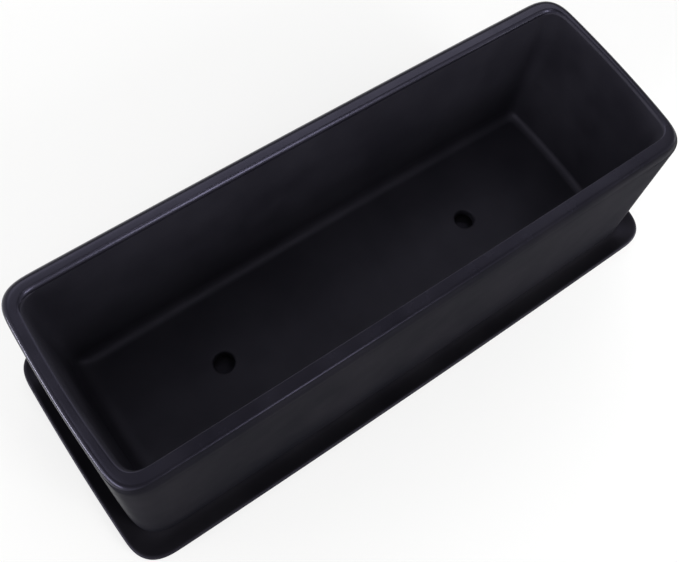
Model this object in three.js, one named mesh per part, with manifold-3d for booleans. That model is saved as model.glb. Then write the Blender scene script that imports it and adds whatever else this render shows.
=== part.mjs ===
// Rectangular ceramic planter: a tapered, glazed pot with two drain holes, standing loose on a shallow saucer.
// Millimetres. +X runs along the length, -Y is the front, +Z is up, and the saucer's foot stands on Z = 0.

import * as THREE from 'three';
import * as BufferGeometryUtils from 'three/addons/utils/BufferGeometryUtils.js';
import Module from 'manifold-3d';

const wasm = await Module();
wasm.setup();

// Pot, outside
const potLength = 300; // at the widest point of the rim
const potWidth = 105; // at the widest point of the rim
const potHeight = 88.6; // from the foot to the top of the rim
const outerDraft = THREE.MathUtils.degToRad(1.2); // lean of the outside wall, narrower towards the foot
const cornerReach = 18.6; // length of side that each corner takes up at the rim
const cornerSpread = 3.0; // how much further the corners reach at the foot
const cornerFullness = 3.2; // 2 is a quarter circle, higher fills the corner out
const sideBow = 0.8; // how far the middle of each long side stands out past its ends
const endBow = 2.0; // the same on the short ends
const heelRadius = 4.8; // round between the outside wall and the foot

// Pot, rim and inside
const rimOuterRadius = 4.2;
const rimInnerRadius = 1.3;
const sideWall = 8.8; // thickness of the long walls at the rim
const endWall = 7.0; // thickness of the short walls at the rim
const sideInnerDraft = THREE.MathUtils.degToRad(2.6); // inside lean of the long walls
const endInnerDraft = THREE.MathUtils.degToRad(5.8); // inside lean of the short walls
const floorThickness = 5.0;
const floorFillet = 7.2; // round between the inside walls and the floor
const floorCornerReach = 3.6; // the corners' reach on the inside floor, where they are tightest

// Pot, underside and drain holes
const potFootWidth = 6.0; // width of the ring that the pot stands on
const potFootDepth = 1.8; // how far the underside lies above the foot
const drainRadius = 5.0;
const drainEdge = 1.2; // glaze-softened edge round the top of each drain hole
const drainSpacing = 145.6; // from the middle of one drain hole to the middle of the other
const drainShift = 1.8; // how far the pair of holes sits towards the left end

// Saucer
const saucerSideMargin = 9.7; // how far the lip stands out past the foot of the pot's long walls
const saucerEndMargin = 6.15; // the same at the short walls
const saucerHeight = 7.6;
const saucerFloorTop = 4.5; // height of the face that the pot stands on
const lipThickness = 2.2;
const lipSlope = THREE.MathUtils.degToRad(28); // how steeply the inside falls away from the lip
const saucerCornerReach = 19.2;
const saucerFloorCornerReach = 9.0; // the corners' reach on the saucer's floor and foot
const saucerCornerFullness = 3.0;
const saucerBow = 1.2; // how far the middle of each of the saucer's sides stands out
const saucerWallRun = 7.2; // width of the slope from the lip down to the floor
const saucerFootInset = 8.0; // from the lip's outer edge to the edge of the foot
const saucerFootWidth = 7.0;
const saucerFootDepth = 1.0;
const seatGap = 0.3; // air left between the pot's foot and the saucer

// Smoothness of the surfaces
const cornerSteps = 7;
const longSideSteps = 6;
const shortSideSteps = 4;
const arcSteps = 3; // a round in a section has twice this many facets
const drainSides = 24;
const weldDistance = 1e-4; // points closer than this are one point

const glaze = { color: 0x24242a, roughness: 0.38, metalness: 0 };
const saucerGlaze = { color: 0x1c1c22, roughness: 0.42, metalness: 0 };

// Points round a rectangle with soft corners and slightly bowed sides.
// Each point also says how far it belongs to the short ends: 1 on them, 0 on the long sides.
function softRectangle(halfX, halfY, reach, corner) {
  const points = [];
  const power = 2 / corner.fullness;
  const quarters = [[1, 1, false], [-1, 1, true], [-1, -1, false], [1, -1, true]];
  for (const [signX, signY, startsOnLongSide] of quarters) {
    for (let step = 0; step <= cornerSteps; step++) {
      const turn = startsOnLongSide ? cornerSteps - step : step;
      const angle = (turn / cornerSteps) * (Math.PI / 2);
      const cos = turn === cornerSteps ? 0 : Math.cos(angle);
      const sin = turn === 0 ? 0 : Math.sin(angle);
      const x = halfX - reach + reach * cos ** power;
      const y = halfY - reach + reach * sin ** power;
      points.push({ x: signX * x, y: signY * y, ends: cos ** 2 });
    }
    // the straight run to the next corner, whose two ends are the corners' own points
    const onLongSide = !startsOnLongSide;
    const steps = onLongSide ? longSideSteps : shortSideSteps;
    for (let step = 1; step < steps; step++) {
      const along = 1 - (2 * step) / steps;
      if (onLongSide) {
        points.push({ x: signX * along * (halfX - reach), y: signY * halfY, ends: 0 });
      } else {
        points.push({ x: signX * halfX, y: signY * along * (halfY - reach), ends: 1 });
      }
    }
  }
  return points.map(({ x, y, ends }) => {
    const u = x / halfX;
    const v = y / halfY;
    return { x: x - u * corner.endBow * v ** 2, y: y - v * corner.sideBow * u ** 2, ends };
  });
}

// A closed body whose outline is a soft rectangle. A section is a list of points (inset from the outside, height),
// from the underside out round the edge to the floor. The long sides and the short ends have a section each.
function loftRectangle(length, width, corner, sideSection, endSection) {
  const positions = [];
  const index = [];
  let ringSize = 0;
  sideSection.forEach((side, level) => {
    const end = endSection[level];
    const inset = (side.x + end.x) / 2;
    const spread = corner.spread * (1 - side.y / corner.height);
    const reach = Math.max(corner.reach + spread - inset, corner.least);
    const ring = softRectangle(length / 2 - end.x, width / 2 - side.x, reach, corner);
    ringSize = ring.length;
    for (const point of ring) {
      positions.push(point.x, point.y, THREE.MathUtils.lerp(side.y, end.y, point.ends));
    }
  });
  const levels = sideSection.length;
  for (let level = 0; level < levels - 1; level++) {
    for (let i = 0; i < ringSize; i++) {
      const next = (i + 1) % ringSize;
      const low = level * ringSize;
      const high = low + ringSize;
      index.push(low + i, low + next, high + next, low + i, high + next, high + i);
    }
  }
  const bottomCentre = positions.length / 3;
  positions.push(0, 0, sideSection[0].y);
  positions.push(0, 0, sideSection[levels - 1].y);
  const topCentre = bottomCentre + 1;
  const topRing = (levels - 1) * ringSize;
  for (let i = 0; i < ringSize; i++) {
    const next = (i + 1) % ringSize;
    index.push(bottomCentre, next, i);
    index.push(topCentre, topRing + i, topRing + next);
  }
  const geometry = new THREE.BufferGeometry();
  geometry.setAttribute('position', new THREE.Float32BufferAttribute(positions, 3));
  geometry.setIndex(index);
  return geometry;
}

// Section through one wall of the pot, from the underside round the foot, wall and rim to the inside floor.
function potSection(wall, innerDraft) {
  const path = new THREE.Path();
  const rimCentreZ = potHeight - rimOuterRadius;
  const wallTop = new THREE.Vector2(
    rimOuterRadius * (1 - Math.cos(outerDraft)),
    rimCentreZ - rimOuterRadius * Math.sin(outerDraft)
  );
  const wallFootZ = heelRadius * (1 - Math.sin(outerDraft));
  const wallFootX = wallTop.x + (wallTop.y - wallFootZ) * Math.tan(outerDraft);
  const heelX = wallFootX + heelRadius * Math.cos(outerDraft);
  const footInner = heelX + potFootWidth;

  const innerCentre = new THREE.Vector2(wall - rimInnerRadius, potHeight - rimInnerRadius);
  const innerTop = new THREE.Vector2(
    innerCentre.x + rimInnerRadius * Math.cos(innerDraft),
    innerCentre.y + rimInnerRadius * Math.sin(innerDraft)
  );
  const floorTop = potFootDepth + floorThickness;
  const wallMeetsFloor = innerTop.x + (innerTop.y - floorTop) * Math.tan(innerDraft);
  const filletX = wallMeetsFloor + floorFillet * Math.tan((Math.PI / 2 - innerDraft) / 2);

  path.moveTo(footInner + potFootDepth, potFootDepth);
  path.lineTo(footInner, 0);
  path.lineTo(heelX, 0);
  path.absarc(heelX, heelRadius, heelRadius, 1.5 * Math.PI, Math.PI + outerDraft, true);
  path.absarc(rimOuterRadius, rimCentreZ, rimOuterRadius, Math.PI + outerDraft, Math.PI / 2, true);
  path.absarc(innerCentre.x, innerCentre.y, rimInnerRadius, Math.PI / 2, innerDraft, true);
  path.absarc(filletX, floorTop + floorFillet, floorFillet, Math.PI + innerDraft, 1.5 * Math.PI, false);
  return path.getPoints(arcSteps);
}

// Section through the saucer's edge, from the underside round the foot and lip to the floor.
function saucerSection() {
  const path = new THREE.Path();
  const lipRadius = lipThickness / 2;
  const lipCentreZ = saucerHeight - lipRadius;
  const footInner = saucerFootInset + saucerFootWidth;
  const slopeStart = Math.PI / 2 - lipSlope;
  const crest = new THREE.Vector2(
    lipRadius + lipRadius * Math.cos(slopeStart),
    lipCentreZ + lipRadius * Math.sin(slopeStart)
  );
  const floorEdge = lipThickness + saucerWallRun;
  const pull = saucerWallRun / 3; // how far the slope holds its direction at each end
  path.moveTo(footInner + saucerFootDepth, saucerFootDepth);
  path.lineTo(footInner, 0);
  path.lineTo(saucerFootInset, 0);
  // the outside sweeps from level at the foot to upright at the lip
  path.bezierCurveTo(saucerFootInset / 2, 0, 0, lipCentreZ / 2, 0, lipCentreZ);
  path.absarc(lipRadius, lipCentreZ, lipRadius, Math.PI, slopeStart, true);
  // the inside falls gently from the lip and levels out at the floor
  path.bezierCurveTo(
    crest.x + pull * Math.cos(lipSlope), crest.y - pull * Math.sin(lipSlope),
    floorEdge - pull, saucerFloorTop,
    floorEdge, saucerFloorTop
  );
  return path.getPoints(arcSteps);
}

function solidOf(geometry) {
  const plain = geometry.clone();
  plain.deleteAttribute('normal');
  plain.deleteAttribute('uv');
  const merged = BufferGeometryUtils.mergeVertices(plain, weldDistance);
  return new wasm.Manifold(new wasm.Mesh({
    numProp: 3,
    vertProperties: new Float32Array(merged.attributes.position.array),
    triVerts: new Uint32Array(merged.index.array)
  }));
}

function geometryOf(solid) {
  const mesh = solid.getMesh();
  const geometry = new THREE.BufferGeometry();
  geometry.setAttribute('position', new THREE.BufferAttribute(mesh.vertProperties, 3));
  geometry.setIndex(new THREE.BufferAttribute(mesh.triVerts, 1));
  geometry.computeVertexNormals();
  return geometry;
}

// What is taken out of the floor for one drain hole: a shaft that flares into the softened top edge.
function drainCutter() {
  const floorTop = potFootDepth + floorThickness;
  const past = drainRadius; // how far the cutter runs past the floor, above and below
  const profile = new THREE.Path();
  profile.moveTo(0, -past);
  profile.lineTo(drainRadius, -past);
  profile.absarc(drainRadius + drainEdge, floorTop - drainEdge, drainEdge, Math.PI, Math.PI / 2, true);
  profile.lineTo(drainRadius + drainEdge, floorTop + past);
  profile.lineTo(0, floorTop + past);
  const cutter = new THREE.LatheGeometry(profile.getPoints(arcSteps), drainSides);
  return cutter.rotateX(Math.PI / 2);
}

function makePot() {
  const corner = {
    reach: cornerReach,
    spread: cornerSpread,
    height: potHeight,
    least: floorCornerReach,
    fullness: cornerFullness,
    sideBow,
    endBow
  };
  const sides = potSection(sideWall, sideInnerDraft);
  const ends = potSection(endWall, endInnerDraft);
  let body = solidOf(loftRectangle(potLength, potWidth, corner, sides, ends));
  for (const side of [-1, 1]) {
    const x = side * drainSpacing / 2 - drainShift;
    body = body.subtract(solidOf(drainCutter().translate(x, 0, 0)));
  }
  const pot = new THREE.Mesh(geometryOf(body), new THREE.MeshStandardMaterial(glaze));
  pot.name = 'planter_pot';
  pot.position.z = saucerFloorTop + seatGap;
  return pot;
}

function makeSaucer() {
  const footInset = (potHeight - rimOuterRadius - heelRadius) * Math.tan(outerDraft);
  const length = potLength + 2 * (saucerEndMargin - footInset);
  const width = potWidth + 2 * (saucerSideMargin - footInset);
  const corner = {
    reach: saucerCornerReach,
    spread: 0,
    height: saucerHeight,
    least: saucerFloorCornerReach,
    fullness: saucerCornerFullness,
    sideBow: saucerBow,
    endBow: saucerBow
  };
  const section = saucerSection();
  const geometry = geometryOf(solidOf(loftRectangle(length, width, corner, section, section)));
  const saucer = new THREE.Mesh(geometry, new THREE.MeshStandardMaterial(saucerGlaze));
  saucer.name = 'saucer';
  return saucer;
}

const planter = new THREE.Group();
planter.add(makeSaucer(), makePot());

export default planter;
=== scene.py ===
import math

import bmesh
import bpy
from mathutils import Matrix, Vector, noise


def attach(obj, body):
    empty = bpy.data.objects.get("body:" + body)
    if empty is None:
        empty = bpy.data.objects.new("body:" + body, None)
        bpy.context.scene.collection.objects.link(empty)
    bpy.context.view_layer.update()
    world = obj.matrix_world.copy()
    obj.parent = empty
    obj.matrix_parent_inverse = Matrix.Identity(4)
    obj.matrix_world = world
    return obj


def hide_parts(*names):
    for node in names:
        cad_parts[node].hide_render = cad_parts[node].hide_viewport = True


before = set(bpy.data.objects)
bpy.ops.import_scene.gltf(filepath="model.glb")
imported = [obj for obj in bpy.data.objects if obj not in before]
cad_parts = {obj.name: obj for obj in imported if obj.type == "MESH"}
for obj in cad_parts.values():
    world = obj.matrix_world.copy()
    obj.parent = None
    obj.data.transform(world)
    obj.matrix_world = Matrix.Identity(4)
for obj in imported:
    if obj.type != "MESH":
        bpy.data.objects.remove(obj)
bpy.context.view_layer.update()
mm = 0.001


# Camera, fitted to the outlines of the rim and the saucer and to the drain holes

photo = {
    "width": 679,  # pixels
    "height": 562,
    "eye": (-154.1, -146.6, 479.2),  # where the lens stood
    "aim": (42.9, 3.9, 0.0),  # where its axis meets the table
    "rollDegrees": 17.64,
    "focalPixels": 1021.9,
    "axisPixel": (414.5, 248.6),  # where its axis lands in the photograph
    "sensorWidth": 36.0,
    "nearest": 10.0,  # nothing nearer than this is drawn
    "farthest": 50000.0,
}


def makeCamera(view):
    data = bpy.data.cameras.new("photoCamera")
    data.sensor_fit = "HORIZONTAL"
    data.sensor_width = view["sensorWidth"]
    data.lens = view["focalPixels"] * view["sensorWidth"] / view["width"]
    data.shift_x = (view["width"] / 2 - view["axisPixel"][0]) / view["width"]
    data.shift_y = (view["axisPixel"][1] - view["height"] / 2) / view["width"]
    data.clip_start = view["nearest"] * mm
    data.clip_end = view["farthest"] * mm
    camera = bpy.data.objects.new("photoCamera", data)
    bpy.context.scene.collection.objects.link(camera)
    eye = Vector(view["eye"]) * mm
    aim = Vector(view["aim"]) * mm
    facing = (aim - eye).to_track_quat("-Z", "Y").to_matrix().to_4x4()
    roll = Matrix.Rotation(math.radians(view["rollDegrees"]), 4, "Z")
    camera.matrix_world = Matrix.Translation(eye) @ facing @ roll
    bpy.context.scene.camera = camera
    print("camera set")


# Shapes that the pot and the saucer share

def arc(centre, radius, startDegrees, endDegrees, steps):
    points = []
    for step in range(steps + 1):
        angle = math.radians(startDegrees + (endDegrees - startDegrees) * step / steps)
        points.append((centre[0] + radius * math.cos(angle), centre[1] + radius * math.sin(angle)))
    return points


def straight(start, end, steps):
    # only the points between the two ends
    parts = [step / steps for step in range(1, steps)]
    return [(start[0] + (end[0] - start[0]) * t, start[1] + (end[1] - start[1]) * t) for t in parts]


# An edge that turns from one tilt to another, from (0, 0) inwards and down. Its radius changes with the tilt,
# as the pairs of tilt and radius say, so each step is added up from finer ones.
def easedEdge(radii, tiltFrom, tiltTo, steps):
    finerSteps = 8
    points = [(0.0, 0.0)]
    x = z = 0.0
    turn = (tiltTo - tiltFrom) / steps / finerSteps
    for step in range(steps * finerSteps):
        tilt = tiltFrom + (step + 0.5) * turn
        for (low, first), (high, second) in zip(radii, radii[1:]):
            if low <= tilt <= high:
                radius = first + (second - first) * (tilt - low) / (high - low)
        x += radius * math.cos(math.radians(tilt)) * math.radians(turn)
        z -= radius * math.sin(math.radians(tilt)) * math.radians(turn)
        if (step + 1) % finerSteps == 0:
            points.append((x, z))
    return points


def bezier(start, first, second, end, steps):
    points = []
    for step in range(steps + 1):
        t = step / steps
        weights = ((1 - t) ** 3, 3 * t * (1 - t) ** 2, 3 * t ** 2 * (1 - t), t ** 3)
        corners = (start, first, second, end)
        points.append(tuple(sum(w * c[axis] for w, c in zip(weights, corners)) for axis in (0, 1)))
    return points


# One ring round a rectangle with soft corners and slightly bowed sides.
# Each wall has its own inset from the outline and its own height, and the corners pass from one to the other.
def softRectangle(outline, walls):
    quarters = []
    for signX, signY in ((1, 1), (-1, 1), (-1, -1), (1, -1)):
        endInset, endHeight = walls["right" if signX > 0 else "left"]
        sideInset, sideHeight = walls["back" if signY > 0 else "front"]
        spread = outline["cornerSpread"] * (1 - sideHeight / outline["height"])
        reach = outline["cornerReach"] + spread - (endInset + sideInset) / 2
        quarters.append({
            "signX": signX,
            "signY": signY,
            "halfX": outline["length"] / 2 - endInset,
            "halfY": outline["width"] / 2 - sideInset,
            "reach": max(reach, outline["leastReach"]),
            "endHeight": endHeight,
            "sideHeight": sideHeight,
        })
    power = 2 / outline["cornerFullness"]
    ring = []

    def place(quarter, x, y, ends):
        u = x / quarter["halfX"]
        v = y / quarter["halfY"]
        height = quarter["sideHeight"] + (quarter["endHeight"] - quarter["sideHeight"]) * ends
        ring.append(Vector((x - u * outline["endBow"] * v * v, y - v * outline["sideBow"] * u * u, height)))

    for index, quarter in enumerate(quarters):
        following = quarters[(index + 1) % 4]
        ontoLongSide = index % 2 == 0
        steps = outline["cornerSteps"]
        for step in range(steps + 1):
            turn = step if ontoLongSide else steps - step
            angle = turn / steps * math.pi / 2
            cos = 0.0 if turn == steps else math.cos(angle)
            sin = 0.0 if turn == 0 else math.sin(angle)
            reach = quarter["reach"]
            x = quarter["halfX"] - reach + reach * cos ** power
            y = quarter["halfY"] - reach + reach * sin ** power
            place(quarter, quarter["signX"] * x, quarter["signY"] * y, cos * cos)
        # the straight run to the next corner
        steps = outline["longSteps" if ontoLongSide else "shortSteps"]
        for step in range(1, steps):
            along = 1 - 2 * step / steps
            nearest = quarter if along >= 0 else following
            if ontoLongSide:
                x = quarter["signX"] * along * (nearest["halfX"] - nearest["reach"])
                place(nearest, x, quarter["signY"] * nearest["halfY"], 0.0)
            else:
                y = quarter["signY"] * along * (nearest["halfY"] - nearest["reach"])
                place(nearest, quarter["signX"] * nearest["halfX"], y, 1.0)
    return ring


# Joins the rings by faces. A piece with several materials gives the level at which each of them begins.
def addRings(mesh, rings, lift=0.0, beginnings=None):
    up = Vector((0, 0, lift))
    loops = [[mesh.verts.new((point + up) * mm) for point in ring] for ring in rings]
    for level, (low, high) in enumerate(zip(loops, loops[1:])):
        for i in range(len(low)):
            j = (i + 1) % len(low)
            face = mesh.faces.new((low[i], low[j], high[j], high[i]))
            for slot, beginning in (beginnings or {}).items():
                if level >= beginning:
                    face.material_index = slot
    return loops


# Fills the flat between one loop and the loops inside it
def fillFlat(mesh, loops, up, slot=0):
    edges = []
    for loop in loops:
        for i in range(len(loop)):
            edges.append(mesh.edges.get((loop[i], loop[(i + 1) % len(loop)])))
    filled = bmesh.ops.triangle_fill(mesh, use_beauty=True, edges=edges, normal=(0, 0, up))
    for part in filled["geom"]:
        if isinstance(part, bmesh.types.BMFace):
            part.material_index = slot


# The slight unevenness of a hand-finished cast piece. It only goes inwards, so the piece keeps its size.
def unevenness(mesh, hand):
    mesh.normal_update()
    moves = []
    for vert in mesh.verts:
        height = vert.co.z / mm
        share = min(max((height - hand["stillBelow"]) / hand["fadeOver"], 0.0), 1.0)
        wave = noise.noise(vert.co / (hand["wavelength"] * mm) + Vector(hand["seed"]))
        moves.append(vert.normal * ((wave - 1) / 2 * hand["depth"] * mm * share))
    for vert, move in zip(mesh.verts, moves):
        vert.co += move


def finishPiece(mesh, name, materials, body, node):
    bmesh.ops.recalc_face_normals(mesh, faces=mesh.faces)
    data = bpy.data.meshes.new(name)
    for face in mesh.faces:
        face.smooth = True
    mesh.to_mesh(data)
    mesh.free()
    for material in materials:
        data.materials.append(material)
    piece = bpy.data.objects.new(name, data)
    bpy.context.scene.collection.objects.link(piece)
    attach(piece, body)
    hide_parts(node)
    print(name, "made with", len(data.polygons), "faces")


# Materials

colorA, colorB, colorResult = 6, 7, 2  # the Mix node's sockets for colours, whose names its other sockets share
numberA, numberB = 2, 3  # and those for numbers


def hexToLinear(text):
    channels = [int(text[i:i + 2], 16) / 255 for i in (1, 3, 5)]
    linear = [c / 12.92 if c <= 0.04045 else ((c + 0.055) / 1.055) ** 2.4 for c in channels]
    return (*linear, 1.0)


# Adds a node with its settings. An input takes a value or another node's output.
def addNode(tree, kind, settings=None, inputs=None):
    node = tree.nodes.new(kind)
    for name, value in (settings or {}).items():
        setattr(node, name, value)
    for name, value in (inputs or {}).items():
        if isinstance(value, bpy.types.NodeSocket):
            tree.links.new(value, node.inputs[name])
        else:
            node.inputs[name].default_value = value
    return node


def perMetre(size):
    return 1 / (size * mm)  # the texture scale at which one feature is about this many millimetres


# Satin black glaze, sprayed on cast stoneware and fired. It gives the eye a near-black, faintly violet colour,
# broad soft highlights on the rim with a faint orange peel in them, duller walls with slow paler clouds, placed
# paler and darker patches that are painted light and shade, and a bare pale foot where the piece stood in the kiln.
def makeGlaze(glaze):
    material = bpy.data.materials.new(glaze["name"])
    material.use_nodes = True
    tree = material.node_tree
    tree.nodes.clear()
    place = addNode(tree, "ShaderNodeTexCoord").outputs["Object"]

    # colour: slow clouds where the sprayed coat is thicker or thinner
    clouds = addNode(tree, "ShaderNodeTexNoise", {}, {
        "Vector": place, "Scale": perMetre(glaze["cloudSize"]), "Detail": 3.0, "Roughness": 0.5})
    coat = addNode(tree, "ShaderNodeMapRange", {}, {
        "Value": clouds.outputs["Fac"], "From Min": glaze["cloudEdges"][0], "From Max": glaze["cloudEdges"][1],
        "To Min": glaze["thinness"][0], "To Max": glaze["thinness"][1]})
    thinness = coat.outputs["Result"]
    # placed patches that paint light and shade into the colour: paler where they stand for light, darker for shade
    for paintedPatch in glaze["paintedShadeAndClouds"]:
        away = addNode(tree, "ShaderNodeVectorMath", {"operation": "SUBTRACT"}, {
            0: place, 1: [c * mm for c in paintedPatch["at"]]})
        away = addNode(tree, "ShaderNodeVectorMath", {"operation": "MULTIPLY"}, {
            0: away.outputs["Vector"], 1: [perMetre(reach) for reach in paintedPatch["reach"]]})
        away = addNode(tree, "ShaderNodeVectorMath", {"operation": "LENGTH"}, {0: away.outputs["Vector"]})
        patchTone = addNode(tree, "ShaderNodeMapRange", {"interpolation_type": "SMOOTHSTEP"}, {
            "Value": away.outputs["Value"], "From Min": 0.0, "From Max": 1.0,
            "To Min": paintedPatch["paler"], "To Max": 0.0})
        thinness = addNode(tree, "ShaderNodeMath", {"operation": "ADD"}, {
            0: thinness, 1: patchTone.outputs["Result"]}).outputs[0]
    glazed = addNode(tree, "ShaderNodeMix", {"data_type": "RGBA"}, {
        0: thinness, colorA: hexToLinear(glaze["thickColor"]), colorB: hexToLinear(glaze["thinColor"])})

    # bare clay below the glaze line, which wanders a little
    height = addNode(tree, "ShaderNodeSeparateXYZ", {}, {"Vector": place}).outputs["Z"]
    wander = addNode(tree, "ShaderNodeTexNoise", {}, {
        "Vector": place, "Scale": perMetre(glaze["wanderSize"]), "Detail": 2.0})
    line = addNode(tree, "ShaderNodeMath", {"operation": "MULTIPLY_ADD"}, {
        0: wander.outputs["Fac"], 1: glaze["wander"] * mm, 2: glaze["glazeLine"] * mm})
    above = addNode(tree, "ShaderNodeMath", {"operation": "SUBTRACT"}, {0: height, 1: line.outputs[0]})
    bare = addNode(tree, "ShaderNodeMapRange", {}, {
        "Value": above.outputs[0], "From Min": 0.0, "From Max": glaze["lineSoftness"] * mm,
        "To Min": 1.0, "To Max": 0.0})
    grit = addNode(tree, "ShaderNodeTexNoise", {}, {
        "Vector": place, "Scale": perMetre(glaze["gritSize"]), "Detail": 4.0})
    clay = addNode(tree, "ShaderNodeMix", {"data_type": "RGBA"}, {
        0: grit.outputs["Fac"], colorA: hexToLinear(glaze["clayDark"]), colorB: hexToLinear(glaze["clayPale"])})
    color = addNode(tree, "ShaderNodeMix", {"data_type": "RGBA"}, {
        0: bare.outputs["Result"], colorA: glazed.outputs[colorResult], colorB: clay.outputs[colorResult]})

    # gloss: a little uneven, duller at a slant except where the eye only skims it, and dull where the clay is bare
    patches = addNode(tree, "ShaderNodeTexNoise", {}, {
        "Vector": place, "Scale": perMetre(glaze["glossPatch"]), "Detail": 3.0})
    gloss = addNode(tree, "ShaderNodeMapRange", {}, {
        "Value": patches.outputs["Fac"], "From Min": glaze["glossEdges"][0], "From Max": glaze["glossEdges"][1],
        "To Min": glaze["roughness"] - glaze["roughnessSpread"],
        "To Max": glaze["roughness"] + glaze["roughnessSpread"]})
    grazing = addNode(tree, "ShaderNodeLayerWeight", {}, {"Blend": 0.5}).outputs["Facing"]
    dulled = addNode(tree, "ShaderNodeMapRange", {"interpolation_type": "SMOOTHSTEP"}, {
        "Value": grazing, "From Min": glaze["slant"][0], "From Max": glaze["slant"][1],
        "To Min": 0.0, "To Max": glaze["grazingDull"]})
    skimming = addNode(tree, "ShaderNodeMapRange", {"interpolation_type": "SMOOTHSTEP"}, {
        "Value": grazing, "From Min": glaze["skim"][0], "From Max": glaze["skim"][1], "To Min": 1.0, "To Max": 0.0})
    dull = addNode(tree, "ShaderNodeMath", {"operation": "MULTIPLY_ADD", "use_clamp": True}, {
        0: dulled.outputs["Result"], 1: skimming.outputs["Result"], 2: gloss.outputs["Result"]})
    roughness = addNode(tree, "ShaderNodeMix", {"data_type": "FLOAT"}, {
        0: bare.outputs["Result"], numberA: dull.outputs[0], numberB: glaze["clayRoughness"]})

    # relief: slow waves from the mould and the brush, and orange peel from the spray
    waves = addNode(tree, "ShaderNodeTexNoise", {}, {
        "Vector": place, "Scale": perMetre(glaze["waveSize"]), "Detail": 1.0})
    peel = addNode(tree, "ShaderNodeTexNoise", {}, {
        "Vector": place, "Scale": perMetre(glaze["peelSize"]), "Detail": 2.0})
    slow = addNode(tree, "ShaderNodeBump", {}, {
        "Height": waves.outputs["Fac"], "Strength": 1.0, "Distance": glaze["waveDepth"] * mm})
    fine = addNode(tree, "ShaderNodeBump", {}, {
        "Height": peel.outputs["Fac"], "Strength": 1.0, "Distance": glaze["peelDepth"] * mm,
        "Normal": slow.outputs["Normal"]})

    shader = addNode(tree, "ShaderNodeBsdfPrincipled", {}, {
        "Base Color": color.outputs[colorResult], "Roughness": roughness.outputs[0], "IOR": glaze["ior"],
        "Specular Tint": hexToLinear(glaze["sheenTint"]), "Normal": fine.outputs["Normal"]})
    addNode(tree, "ShaderNodeOutputMaterial", {}, {"Surface": shader.outputs["BSDF"]})
    return material


# Saucer: a shallow glazed dish with a low raised lip

saucer = {
    "sideMargin": 9.7,  # how far the lip stands out past the foot of the pot's long walls
    "endMargin": 6.15,  # the same at the short walls
    "height": 7.6,
    "floorTop": 4.5,
    "lipThickness": 2.2,
    "lipSlopeDegrees": 28.0,  # how steeply the inside leaves the lip
    "wallRun": 7.2,  # width of the slope from the lip down to the floor
    "footInset": 8.0,
    "footWidth": 7.0,
    "footDepth": 1.0,
    "cornerReach": 19.2,  # how far along each side a corner's curve reaches
    "cornerSpread": 0.0,  # how much further it reaches at the foot
    "leastReach": 9.0,  # and the least that it reaches on the inside
    "cornerFullness": 3.0,  # 2 is round, and more is squarer
    "sideBow": 1.2,  # how far the long sides' middles stand out past their ends
    "endBow": 1.2,
    "hold": 0.4,  # width of the strip that keeps the flats' shading flat
    "footSteps": 4,
    "curveSteps": 14,
    "cornerSteps": 20,
    "longSteps": 60,
    "shortSteps": 20,
}

saucerGlaze = {
    "name": "satinBlackSaucerGlaze",
    "thickColor": "#19181C",
    "thinColor": "#201F23",
    "sheenTint": "#D8D2FF",
    "ior": 1.25,
    "roughness": 0.4,
    "roughnessSpread": 0.04,
    "grazingDull": 0.62,  # how much duller it is at a slant
    "slant": (0.4, 0.7),  # where that begins and is full, from 0, seen square on, to 1, seen edge on
    "skim": (0.86, 0.98),  # where it fades again
    "glossPatch": 11.0,
    "glossEdges": (0.3, 0.7),  # the parts of the noise that are glossiest and dullest
    "cloudSize": 28.0,
    "cloudEdges": (0.35, 0.65),  # the parts of the noise where the coat is thickest and thinnest
    "thinness": (0.0, 1.0),  # the coat there, from 0, the thick colour, to 1, the thin one
    "paintedShadeAndClouds": (),  # soft paler or darker places painted into the colour for light and shade
    "waveSize": 26.0,
    "waveDepth": 0.10,
    "peelSize": 1.6,  # real orange peel is finer; this is as fine as shows
    "peelDepth": 0.006,
    "glazeLine": 0.15,  # height above the table below which the clay is bare
    "lineSoftness": 0.1,
    "wander": 0.1,
    "wanderSize": 4.0,
    "gritSize": 0.7,
    "clayDark": "#8F8576",
    "clayPale": "#B5AA98",
    "clayRoughness": 0.9,
}


def saucerSection(dish):
    lip = dish["lipThickness"]
    lipCentre = dish["height"] - lip / 2
    footInner = dish["footInset"] + dish["footWidth"]
    recess = footInner + dish["footDepth"]
    innerEdge = lip + dish["wallRun"]
    slope = math.radians(dish["lipSlopeDegrees"])
    steps = dish["curveSteps"]
    path = [(recess + dish["hold"], dish["footDepth"]), (recess, dish["footDepth"]), (footInner, 0.0)]
    path += straight((footInner, 0.0), (dish["footInset"], 0.0), dish["footSteps"])
    path += bezier(
        (dish["footInset"], 0.0),
        (dish["footInset"] / 2, 0.0),
        (0.0, lipCentre / 2),
        (0.0, lipCentre),
        steps)
    path += arc((lip / 2, lipCentre), lip / 2, 180, 90 - dish["lipSlopeDegrees"], steps)[1:]
    crestX, crestZ = path[-1]
    pull = dish["wallRun"] / 3
    path += bezier(
        (crestX, crestZ),
        (crestX + pull * math.cos(slope), crestZ - pull * math.sin(slope)),
        (innerEdge - pull, dish["floorTop"]),
        (innerEdge, dish["floorTop"]),
        steps)[1:]
    path.append((innerEdge + dish["hold"], dish["floorTop"]))
    return path


def makeSaucer(dish, pot, glaze):
    footInset = (pot["height"] - pot["rimOuter"] - pot["heel"]) * math.tan(math.radians(pot["draftDegrees"]))
    outline = dict(dish)
    outline["length"] = pot["length"] + 2 * (dish["endMargin"] - footInset)
    outline["width"] = pot["width"] + 2 * (dish["sideMargin"] - footInset)
    rings = []
    for point in saucerSection(dish):
        rings.append(softRectangle(outline, {wall: point for wall in ("right", "back", "left", "front")}))
    mesh = bmesh.new()
    loops = addRings(mesh, rings)
    fillFlat(mesh, [loops[0]], -1)
    fillFlat(mesh, [loops[-1]], 1)
    finishPiece(mesh, "saucerDish", [makeGlaze(glaze)], "saucer", "saucer")


# Pot: one cast shell with a rounded rim, a rounded heel, and two drain holes in its floor

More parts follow.
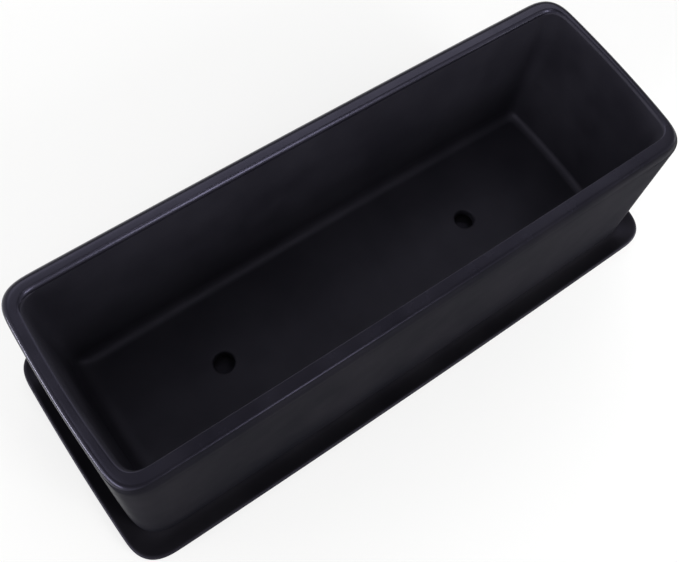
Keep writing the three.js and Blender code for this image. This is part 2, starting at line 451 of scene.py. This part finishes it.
pot = {
    "length": 300.0,
    "width": 105.0,
    "height": 88.6,
    "seat": 4.8,  # height of its foot above the table
    "draftDegrees": 1.2,
    "cornerReach": 18.6,
    "cornerSpread": 3.0,
    "leastReach": 3.6,
    "cornerFullness": 3.2,
    "sideBow": 0.8,
    "endBow": 2.0,
    "heel": 4.8,  # radius between the outside and the foot
    "rimOuter": 4.2,  # usual radius of the rim's outer edge, from which the foot's width is worked out
    # Each wall's thickness at the rim, the radius of its outer edge, pairs of tilt and radius for its inner edge,
    # how far its inside leans, the radius where it meets the floor, and the tilts between which the rim is glossy.
    "walls": {
        "right": {
            "thickness": 5.5, "outerEdge": 3.1, "innerEdge": ((0, 1.9), (90, 1.9)),
            "leanDegrees": 5.8, "floorFillet": 4.5, "glossOut": 60.0, "glossIn": 34.0},
        "back": {
            "thickness": 8.7, "outerEdge": 4.2, "innerEdge": ((0, 0.5), (26, 0.5), (34, 4.5), (48, 3.6), (90, 2.2)),
            "leanDegrees": 2.6, "floorFillet": 6.0, "glossOut": 60.0, "glossIn": 80.0},
        "left": {
            "thickness": 7.4, "outerEdge": 2.4, "innerEdge": ((0, 2.6), (90, 2.6)),
            "leanDegrees": 5.8, "floorFillet": 10.0, "glossOut": 86.0, "glossIn": 20.0},
        "front": {
            "thickness": 9.05, "outerEdge": 4.2, "innerEdge": ((0, 0.6), (90, 0.6)),
            "leanDegrees": 2.6, "floorFillet": 7.2, "glossOut": 22.0, "glossIn": 8.0},
    },
    "floorThickness": 5.0,
    "footWidth": 6.0,
    "footDepth": 1.8,
    "drainRadius": 5.0,
    "drainEdge": 1.2,
    "drainLowerEdge": 0.5,
    "drains": ({"x": -75.0, "y": 1.9, "turn": 0.4}, {"x": 71.0, "y": -0.2, "turn": 2.1}),  # punched by hand
    "drainSides": 64,
    "outOfRound": 0.02,
    "hold": 0.4,
    "footSteps": 4,
    "heelSteps": 12,
    "wallSteps": 18,
    "edgeSteps": 10,
    "flatSteps": 3,
    "filletSteps": 14,
    "drainEdgeSteps": 8,
    "drainLowerSteps": 4,
    "cornerSteps": 20,
    "longSteps": 60,
    "shortSteps": 20,
}

potHand = {
    "depth": 0.22,
    "wavelength": 75.0,
    "stillBelow": 22.0,  # the walls are true up to this height above the table
    "fadeOver": 30.0,
    "seed": (3.1, 7.7, 1.3),
}

# One glaze, fired unevenly: glossy on the rim, duller inside, and dry outside, where it hardly mirrors the white
# paper. The painted patches of light and shade are measured in the frame, as the pot stands: the middle of each,
# how far it reaches along each axis, and how much paler the colour is in its middle. Below 0 it is darker there.
potGlaze = {**saucerGlaze, "ior": 1.4, "glazeLine": 5.0, "wander": 0.2}
potGlazes = {
    "rim": {
        **potGlaze, "name": "satinBlackRimGlaze", "thickColor": "#141319", "thinColor": "#1B1A20",
        "sheenTint": "#DAD6FF", "roughness": 0.25, "grazingDull": 0.0},
    "inside": {
        **potGlaze, "name": "dullBlackInsideGlaze", "thickColor": "#0F0E14", "thinColor": "#2A2930",
        "sheenTint": "#E6E2FF", "roughness": 0.55, "grazingDull": 0.3, "thinness": (0.22, 0.52),
        # Inside, mostly painted light and shade: paler low along the back wall and in the middle of the floor,
        # darker in the back wall's middle, on the right wall and at the floor's front-left, and a painted sheen
        # high on the back wall's right. The two paler ones low on the back wall's left are partly painted light and
        # partly the glaze's lighter clouds.
        "paintedShadeAndClouds": (
            {"at": (0, 50, 20), "reach": (200, 24, 16), "paler": 0.45},
            {"at": (-112, 40, 26), "reach": (60, 30, 40), "paler": 0.4},
            {"at": (-62, 41, 26), "reach": (40, 30, 30), "paler": 0.25},
            {"at": (-22, 42, 58), "reach": (42, 30, 34), "paler": -0.2},
            {"at": (40, 42, 52), "reach": (50, 30, 34), "paler": -0.2},
            {"at": (128, 42, 84), "reach": (28, 28, 28), "paler": 0.2},
            {"at": (142, -6, 68), "reach": (40, 40, 40), "paler": -0.12},
            {"at": (10, 12, 12), "reach": (60, 30, 20), "paler": 0.08},
            {"at": (-110, -25, 12), "reach": (60, 40, 20), "paler": -0.2},
        )},
    "outside": {
        **potGlaze, "name": "dryBlackOutsideGlaze", "thickColor": "#121217", "thinColor": "#18171C",
        "sheenTint": "#E8E4FF", "ior": 1.15, "roughness": 0.5, "grazingDull": 0.4,
        # Outside, painted shade darkening the front-left of the heel, beside the saucer.
        "paintedShadeAndClouds": ({"at": (-138, -50, 8), "reach": (50, 30, 16), "paler": -1.0},)},
}


def potSection(pot, wall):
    draft = math.radians(pot["draftDegrees"])
    lean = math.radians(wall["leanDegrees"])
    height = pot["height"]
    outer, heel = wall["outerEdge"], pot["heel"]
    rimCentre = height - outer
    topX = outer * (1 - math.cos(draft))
    topZ = rimCentre - outer * math.sin(draft)
    footZ = heel * (1 - math.sin(draft))
    heelX = topX + (topZ - footZ) * math.tan(draft) + heel * math.cos(draft)
    footInner = heelX + pot["footWidth"]
    recess = footInner + pot["footDepth"]
    steps = pot["edgeSteps"]
    lipTop = easedEdge(wall["innerEdge"], 0.0, wall["glossIn"], steps)
    lipArc = easedEdge(wall["innerEdge"], wall["glossIn"], 90 - wall["leanDegrees"], steps)
    lipStart = wall["thickness"] - lipTop[-1][0] - lipArc[-1][0]
    lipTop = [(lipStart + x, height + z) for x, z in lipTop]
    lipArc = [(lipTop[-1][0] + x, lipTop[-1][1] + z) for x, z in lipArc]
    innerX, innerZ = lipArc[-1]
    floorTop = pot["footDepth"] + pot["floorThickness"]
    fillet = wall["floorFillet"]
    meetsFloor = innerX + (innerZ - floorTop) * math.tan(lean)
    filletX = meetsFloor + fillet * math.tan((math.pi / 2 - lean) / 2)

    heelArc = arc((heelX, heel), heel, 270, 180 + pot["draftDegrees"], pot["heelSteps"])
    rimArc = arc((outer, rimCentre), outer, 180 + pot["draftDegrees"], 90 + wall["glossOut"], steps)
    rimTop = arc((outer, rimCentre), outer, 90 + wall["glossOut"], 90, steps)
    floorArc = arc((filletX, floorTop + fillet), fillet, 180 + wall["leanDegrees"], 270, pot["filletSteps"])
    path = [(recess + pot["hold"], pot["footDepth"]), (recess, pot["footDepth"]), (footInner, 0.0)]
    path += straight((footInner, 0.0), heelArc[0], pot["footSteps"]) + heelArc
    path += straight(heelArc[-1], rimArc[0], pot["wallSteps"]) + rimArc
    glossFrom = len(path) - 1
    path += rimTop[1:] + straight(rimTop[-1], lipTop[0], pot["flatSteps"]) + lipTop
    glossTo = len(path) - 1
    path += lipArc[1:] + straight(lipArc[-1], floorArc[0], pot["wallSteps"]) + floorArc
    path.append((filletX + pot["hold"], floorTop))
    return path, glossFrom, glossTo


def drainRings(pot, drain):
    underside = pot["footDepth"]
    floorTop = underside + pot["floorThickness"]
    radius, edge, lower = pot["drainRadius"], pot["drainEdge"], pot["drainLowerEdge"]
    topArc = arc((radius + edge, floorTop - edge), edge, 90, 180, pot["drainEdgeSteps"])
    lowArc = arc((radius + lower, underside + lower), lower, 180, 270, pot["drainLowerSteps"])
    path = [(radius + edge + pot["hold"], floorTop)] + topArc
    path += straight(topArc[-1], lowArc[0], pot["flatSteps"]) + lowArc
    path.append((radius + lower + pot["hold"], underside))
    rings = []
    for reach, z in path:
        ring = []
        for side in range(pot["drainSides"]):
            angle = 2 * math.pi * side / pot["drainSides"]
            reachHere = reach * (1 + pot["outOfRound"] * math.sin(2 * angle + drain["turn"]))
            x = drain["x"] + reachHere * math.cos(angle)
            y = drain["y"] + reachHere * math.sin(angle)
            ring.append(Vector((x, y, z)))
        rings.append(ring)
    return rings


def makePot(pot, hand, glazes):
    outside, rim, inside = range(3)  # the material slots
    sections = {}
    for name, wall in pot["walls"].items():
        sections[name], glossFrom, glossTo = potSection(pot, wall)  # the levels are the same for every wall
    rings = []
    for level in range(len(sections["front"])):
        rings.append(softRectangle(pot, {name: section[level] for name, section in sections.items()}))
    mesh = bmesh.new()
    loops = addRings(mesh, rings, pot["seat"], {rim: glossFrom, inside: glossTo})
    tops = [loops[-1]]
    unders = [loops[0]]
    for drain in pot["drains"]:
        loops = addRings(mesh, drainRings(pot, drain), pot["seat"], {inside: 0})
        tops.append(loops[0])
        unders.append(loops[-1])
    fillFlat(mesh, tops, 1, inside)
    fillFlat(mesh, unders, -1, outside)
    unevenness(mesh, hand)
    materials = [makeGlaze(glazes[name]) for name in ("outside", "rim", "inside")]
    finishPiece(mesh, "potShell", materials, "pot", "planter_pot")


# Studio: a plain white floor, a room that is pale at the horizon and darker overhead and on the far side, and soft
# lamps. Each lamp stands this way from the middle of the table, this far off, and faces it.

studio = {
    "floorSize": 60000.0,  # so wide that its far edge hides at the horizon
    "floorColor": "#F5F5F4",
    "fibreSize": 2.0,
    "fibreDepth": 0.02,
    "whiteShare": 0.7,  # how much of the paper's shadow is lifted for the eye and for gloss
    "horizon": 1.0,
    "overhead": 0.085,
    "skyTurns": 0.45,  # height, as the sine of the elevation, above which the room darkens
    "farSide": (0.7, 0.7, 0.0),  # the side on which the room is darker
    "farTurns": (0.0, 0.8),  # where it begins to darken towards that side, and where it is darkest
    "farShare": 0.25,
    "lamps": {
        "backSoftbox": {"toward": (0.28, 0.72, 0.96), "distance": 1200, "size": (1400, 620), "radiance": 1.95},
        "frontStrip": {"toward": (0.2, -0.74, 0.53), "distance": 1200, "size": (380, 300), "radiance": 12.3},
        "frontHighStrip": {"toward": (0.14, -0.38, 0.9), "distance": 1200, "size": (280, 170), "radiance": 7.0},
        "leftSoftbox": {"toward": (-0.9, -0.12, 0.38), "distance": 1200, "size": (600, 420), "radiance": 8.0},
        "leftStrip": {"toward": (-0.92, 0.3, 0.06), "distance": 1200, "size": (400, 160), "radiance": 30.0},
        "highStrip": {"toward": (-0.22, 0.24, 0.95), "distance": 1200, "size": (160, 200), "radiance": 3.0},
        "nearCard": {"toward": (0.87, -0.46, 0.2), "distance": 290, "size": (120, 120), "radiance": 4.6},
    },
}


def makeFloor(studio):
    half = studio["floorSize"] / 2 * mm
    data = bpy.data.meshes.new("studioFloor")
    data.from_pydata([(-half, -half, 0), (half, -half, 0), (half, half, 0), (-half, half, 0)], [], [(0, 1, 2, 3)])
    floor = bpy.data.objects.new("studioFloor", data)
    bpy.context.scene.collection.objects.link(floor)
    material = bpy.data.materials.new("mattWhitePaper")  # seamless studio paper: flat white with no gloss
    material.use_nodes = True
    tree = material.node_tree
    tree.nodes.clear()
    place = addNode(tree, "ShaderNodeTexCoord").outputs["Object"]
    fibre = addNode(tree, "ShaderNodeTexNoise", {}, {
        "Vector": place, "Scale": perMetre(studio["fibreSize"]), "Detail": 3.0})
    bump = addNode(tree, "ShaderNodeBump", {}, {
        "Height": fibre.outputs["Fac"], "Strength": 0.2, "Distance": studio["fibreDepth"] * mm})
    paper = addNode(tree, "ShaderNodeBsdfDiffuse", {}, {
        "Color": hexToLinear(studio["floorColor"]), "Normal": bump.outputs["Normal"]})
    # the eye, gloss and glass see it nearly white, with a faint shadow
    white = addNode(tree, "ShaderNodeEmission", {}, {"Color": hexToLinear("#FFFFFF"), "Strength": 1.0})
    ray = addNode(tree, "ShaderNodeLightPath")
    seen = addNode(tree, "ShaderNodeMath", {"operation": "MAXIMUM"}, {
        0: ray.outputs["Is Camera Ray"], 1: ray.outputs["Is Glossy Ray"]})
    seen = addNode(tree, "ShaderNodeMath", {"operation": "MAXIMUM"}, {
        0: seen.outputs[0], 1: ray.outputs["Is Transmission Ray"]})
    share = addNode(tree, "ShaderNodeMath", {"operation": "MULTIPLY"}, {
        0: seen.outputs[0], 1: studio["whiteShare"]})
    shader = addNode(tree, "ShaderNodeMixShader", {}, {
        0: share.outputs[0], 1: paper.outputs["BSDF"], 2: white.outputs["Emission"]})
    # from below it is clear, so that the feet can be looked at
    clear = addNode(tree, "ShaderNodeBsdfTransparent", {}, {"Color": hexToLinear("#FFFFFF")})
    below = addNode(tree, "ShaderNodeNewGeometry").outputs["Backfacing"]
    oneSided = addNode(tree, "ShaderNodeMixShader", {}, {
        0: below, 1: shader.outputs["Shader"], 2: clear.outputs["BSDF"]})
    addNode(tree, "ShaderNodeOutputMaterial", {}, {"Surface": oneSided.outputs["Shader"]})
    data.materials.append(material)
    print("floor made")


def makeRoom(studio):
    world = bpy.data.worlds.new("studioRoom")
    world.use_nodes = True
    tree = world.node_tree
    tree.nodes.clear()
    direction = addNode(tree, "ShaderNodeTexCoord").outputs["Generated"]
    up = addNode(tree, "ShaderNodeSeparateXYZ", {}, {"Vector": direction}).outputs["Z"]
    level = addNode(tree, "ShaderNodeMapRange", {"interpolation_type": "SMOOTHSTEP"}, {
        "Value": up, "From Min": studio["skyTurns"], "From Max": 1.0,
        "To Min": studio["horizon"], "To Max": studio["overhead"]})
    far = addNode(tree, "ShaderNodeVectorMath", {"operation": "DOT_PRODUCT"}, {0: direction, 1: studio["farSide"]})
    shade = addNode(tree, "ShaderNodeMapRange", {"interpolation_type": "SMOOTHSTEP"}, {
        "Value": far.outputs["Value"], "From Min": studio["farTurns"][0], "From Max": studio["farTurns"][1],
        "To Min": 1.0, "To Max": studio["farShare"]})
    strength = addNode(tree, "ShaderNodeMath", {"operation": "MULTIPLY"}, {
        0: level.outputs["Result"], 1: shade.outputs["Result"]})
    light = addNode(tree, "ShaderNodeBackground", {}, {
        "Color": hexToLinear("#FFFFFF"), "Strength": strength.outputs[0]})
    addNode(tree, "ShaderNodeOutputWorld", {}, {"Surface": light.outputs["Background"]})
    bpy.context.scene.world = world
    print("room made")


def makeLamps(studio):
    for name, lamp in studio["lamps"].items():
        data = bpy.data.lights.new(name, "AREA")
        data.shape = "RECTANGLE"
        data.size, data.size_y = (side * mm for side in lamp["size"])
        # in watts: a lamp as bright as this all over gives off pi times its radiance from each square metre
        data.energy = lamp["radiance"] * math.pi * data.size * data.size_y
        light = bpy.data.objects.new(name, data)
        bpy.context.scene.collection.objects.link(light)
        toward = Vector(lamp["toward"]).normalized()
        light.location = toward * lamp["distance"] * mm
        light.visible_camera = False
        light.rotation_mode = "QUATERNION"
        light.rotation_quaternion = (-toward).to_track_quat("-Z", "Y")
    print(len(studio["lamps"]), "lamps set")


bpy.context.scene.view_settings.view_transform = "Standard"
makeCamera(photo)
makeSaucer(saucer, pot, saucerGlaze)
makePot(pot, potHand, potGlazes)
makeFloor(studio)
makeRoom(studio)
makeLamps(studio)
